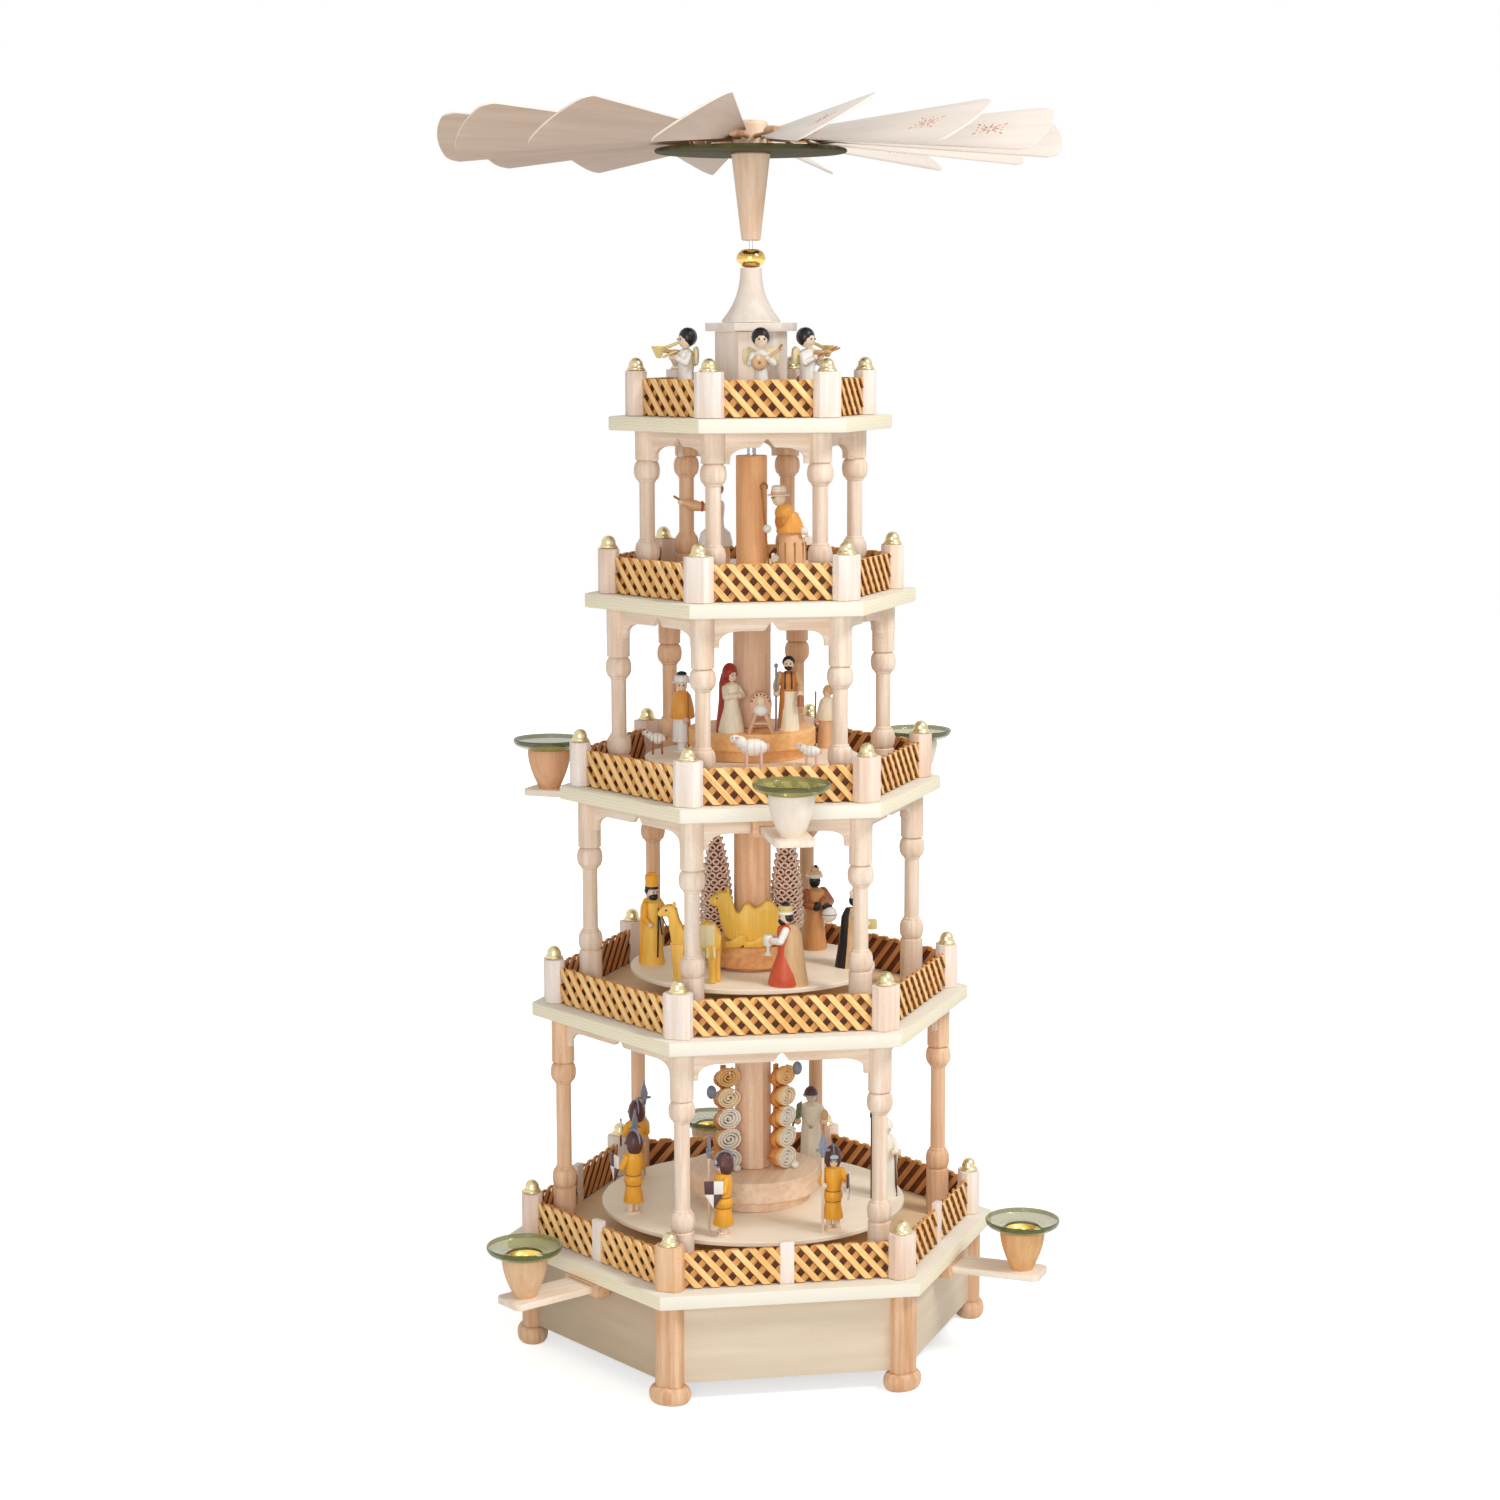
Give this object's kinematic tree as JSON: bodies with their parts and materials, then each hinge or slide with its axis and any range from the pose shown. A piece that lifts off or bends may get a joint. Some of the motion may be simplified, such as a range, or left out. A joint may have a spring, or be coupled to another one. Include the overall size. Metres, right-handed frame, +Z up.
{
  "type": "candle carousel",
  "caption": "Wooden candle carousel: hexagonal decks on turned columns, candle arms with glass dishes, and a paddle wheel that turns discs of small figures.",
  "frame": {"origin": "on the shaft's axis, on the plane that the feet stand on", "axes": "+Z up along the shaft; the front side of the hexagon faces -Y, and corners lie on the X axis"},
  "size_m": [0.5318, 0.5472, 1.0702],
  "materials": {
    "pale_wood": "smooth, thinly varnished maple",
    "beech": "turned and sanded beech",
    "honey_wood": "thin stained slats with pale posts",
    "plywood": "sanded thin plywood",
    "steel": "drawn bright rod",
    "brass": "polished",
    "olive_wood": "dark olive stain, satin",
    "green_glass": "pressed olive-green glass"
  },
  "bodies": {
    "frame": {"base_frame": "beech", "base_bearing": "brass", "deck_1": "pale_wood", "deck_2": "pale_wood", "deck_3": "pale_wood", "deck_4": "pale_wood", "deck_5": "pale_wood", "arcade_1": "beech", "arcade_2": "beech", "arcade_3": "beech", "arcade_4": "beech", "fence_1": "honey_wood", "fence_2": "honey_wood", "fence_3": "honey_wood", "fence_4": "honey_wood", "fence_5": "honey_wood", "tower": "pale_wood", "tower_cap": "pale_wood", "spire": "pale_wood", "bearing_ball": "brass"},
    "rotor": {"shaft": "steel", "wheel_hub": "pale_wood", "heat_plate": "olive_wood", "turntable_1": "plywood", "turntable_2": "plywood", "turntable_3": "plywood", "turntable_4": "plywood", "riser_1": "beech", "riser_2": "beech", "riser_3": "beech", "sleeve_1": "beech", "sleeve_2": "beech", "sleeve_3": "beech", "sleeve_4": "beech"},
    "paddle_01": {"paddle_01": "pale_wood"},
    "paddle_02": {"paddle_02": "pale_wood"},
    "paddle_03": {"paddle_03": "pale_wood"},
    "paddle_04": {"paddle_04": "pale_wood"},
    "paddle_05": {"paddle_05": "pale_wood"},
    "paddle_06": {"paddle_06": "pale_wood"},
    "paddle_07": {"paddle_07": "pale_wood"},
    "paddle_08": {"paddle_08": "pale_wood"},
    "paddle_09": {"paddle_09": "pale_wood"},
    "paddle_10": {"paddle_10": "pale_wood"},
    "paddle_11": {"paddle_11": "pale_wood"},
    "paddle_12": {"paddle_12": "pale_wood"},
    "paddle_13": {"paddle_13": "pale_wood"},
    "paddle_14": {"paddle_14": "pale_wood"},
    "candle_arm_1": {"candle_arm_1": "beech"},
    "drip_dish_1": {"drip_dish_1": "green_glass"},
    "candle_arm_2": {"candle_arm_2": "beech"},
    "drip_dish_2": {"drip_dish_2": "green_glass"},
    "candle_arm_3": {"candle_arm_3": "beech"},
    "drip_dish_3": {"drip_dish_3": "green_glass"},
    "candle_arm_4": {"candle_arm_4": "beech"},
    "drip_dish_4": {"drip_dish_4": "green_glass"},
    "candle_arm_5": {"candle_arm_5": "beech"},
    "drip_dish_5": {"drip_dish_5": "green_glass"},
    "candle_arm_6": {"candle_arm_6": "beech"},
    "drip_dish_6": {"drip_dish_6": "green_glass"}
  },
  "joints": [
    {"name": "rotor_spin", "type": "hinge", "parent": "frame", "child": "rotor", "pos_m": [0, 0, 0], "axis": [0, 0, 1], "continuous": true},
    {"name": "paddle_01_pitch", "type": "hinge", "parent": "rotor", "child": "paddle_01", "pos_m": [0, 0, 1.0511], "axis": [-0.3404, -0.9403, 0], "range_deg": [-30, 20]},
    {"name": "paddle_02_pitch", "type": "hinge", "parent": "rotor", "child": "paddle_02", "pos_m": [0, 0, 1.0511], "axis": [-0.7146, -0.6995, 0], "range_deg": [-30, 20]},
    {"name": "paddle_03_pitch", "type": "hinge", "parent": "rotor", "child": "paddle_03", "pos_m": [0, 0, 1.0511], "axis": [-0.9474, -0.3201, 0], "range_deg": [-30, 20]},
    {"name": "paddle_04_pitch", "type": "hinge", "parent": "rotor", "child": "paddle_04", "pos_m": [0, 0, 1.0511], "axis": [-0.9925, 0.1226, 0], "range_deg": [-30, 20]},
    {"name": "paddle_05_pitch", "type": "hinge", "parent": "rotor", "child": "paddle_05", "pos_m": [0, 0, 1.0511], "axis": [-0.841, 0.5411, 0], "range_deg": [-30, 20]},
    {"name": "paddle_06_pitch", "type": "hinge", "parent": "rotor", "child": "paddle_06", "pos_m": [0, 0, 1.0511], "axis": [-0.5229, 0.8524, 0], "range_deg": [-30, 20]},
    {"name": "paddle_07_pitch", "type": "hinge", "parent": "rotor", "child": "paddle_07", "pos_m": [0, 0, 1.0511], "axis": [-0.1013, 0.9949, 0], "range_deg": [-30, 20]},
    {"name": "paddle_08_pitch", "type": "hinge", "parent": "rotor", "child": "paddle_08", "pos_m": [0, 0, 1.0511], "axis": [0.3404, 0.9403, 0], "range_deg": [-30, 20]},
    {"name": "paddle_09_pitch", "type": "hinge", "parent": "rotor", "child": "paddle_09", "pos_m": [0, 0, 1.0511], "axis": [0.7146, 0.6995, 0], "range_deg": [-30, 20]},
    {"name": "paddle_10_pitch", "type": "hinge", "parent": "rotor", "child": "paddle_10", "pos_m": [0, 0, 1.0511], "axis": [0.9474, 0.3201, 0], "range_deg": [-30, 20]},
    {"name": "paddle_11_pitch", "type": "hinge", "parent": "rotor", "child": "paddle_11", "pos_m": [0, 0, 1.0511], "axis": [0.9925, -0.1226, 0], "range_deg": [-30, 20]},
    {"name": "paddle_12_pitch", "type": "hinge", "parent": "rotor", "child": "paddle_12", "pos_m": [0, 0, 1.0511], "axis": [0.841, -0.5411, 0], "range_deg": [-30, 20]},
    {"name": "paddle_13_pitch", "type": "hinge", "parent": "rotor", "child": "paddle_13", "pos_m": [0, 0, 1.0511], "axis": [0.5229, -0.8524, 0], "range_deg": [-30, 20]},
    {"name": "paddle_14_pitch", "type": "hinge", "parent": "rotor", "child": "paddle_14", "pos_m": [0, 0, 1.0511], "axis": [0.1013, -0.9949, 0], "range_deg": [-30, 20]},
    {"name": "candle_arm_1_slide", "type": "slide", "parent": "frame", "child": "candle_arm_1", "axis": [-0.866, -0.5, 0], "range_m": [0, 0.018]},
    {"name": "drip_dish_1_lift", "type": "slide", "parent": "candle_arm_1", "child": "drip_dish_1", "axis": [0, 0, 1], "range_m": [0, 0.03]},
    {"name": "candle_arm_2_slide", "type": "slide", "parent": "frame", "child": "candle_arm_2", "axis": [0.866, -0.5, 0], "range_m": [0, 0.018]},
    {"name": "drip_dish_2_lift", "type": "slide", "parent": "candle_arm_2", "child": "drip_dish_2", "axis": [0, 0, 1], "range_m": [0, 0.03]},
    {"name": "candle_arm_3_slide", "type": "slide", "parent": "frame", "child": "candle_arm_3", "axis": [0, 1, 0], "range_m": [0, 0.018]},
    {"name": "drip_dish_3_lift", "type": "slide", "parent": "candle_arm_3", "child": "drip_dish_3", "axis": [0, 0, 1], "range_m": [0, 0.03]},
    {"name": "candle_arm_4_slide", "type": "slide", "parent": "frame", "child": "candle_arm_4", "axis": [0, -1, 0], "range_m": [0, 0.018]},
    {"name": "drip_dish_4_lift", "type": "slide", "parent": "candle_arm_4", "child": "drip_dish_4", "axis": [0, 0, 1], "range_m": [0, 0.03]},
    {"name": "candle_arm_5_slide", "type": "slide", "parent": "frame", "child": "candle_arm_5", "axis": [0.866, 0.5, 0], "range_m": [0, 0.018]},
    {"name": "drip_dish_5_lift", "type": "slide", "parent": "candle_arm_5", "child": "drip_dish_5", "axis": [0, 0, 1], "range_m": [0, 0.03]},
    {"name": "candle_arm_6_slide", "type": "slide", "parent": "frame", "child": "candle_arm_6", "axis": [-0.866, 0.5, 0], "range_m": [0, 0.018]},
    {"name": "drip_dish_6_lift", "type": "slide", "parent": "candle_arm_6", "child": "drip_dish_6", "axis": [0, 0, 1], "range_m": [0, 0.03]}
  ]
}
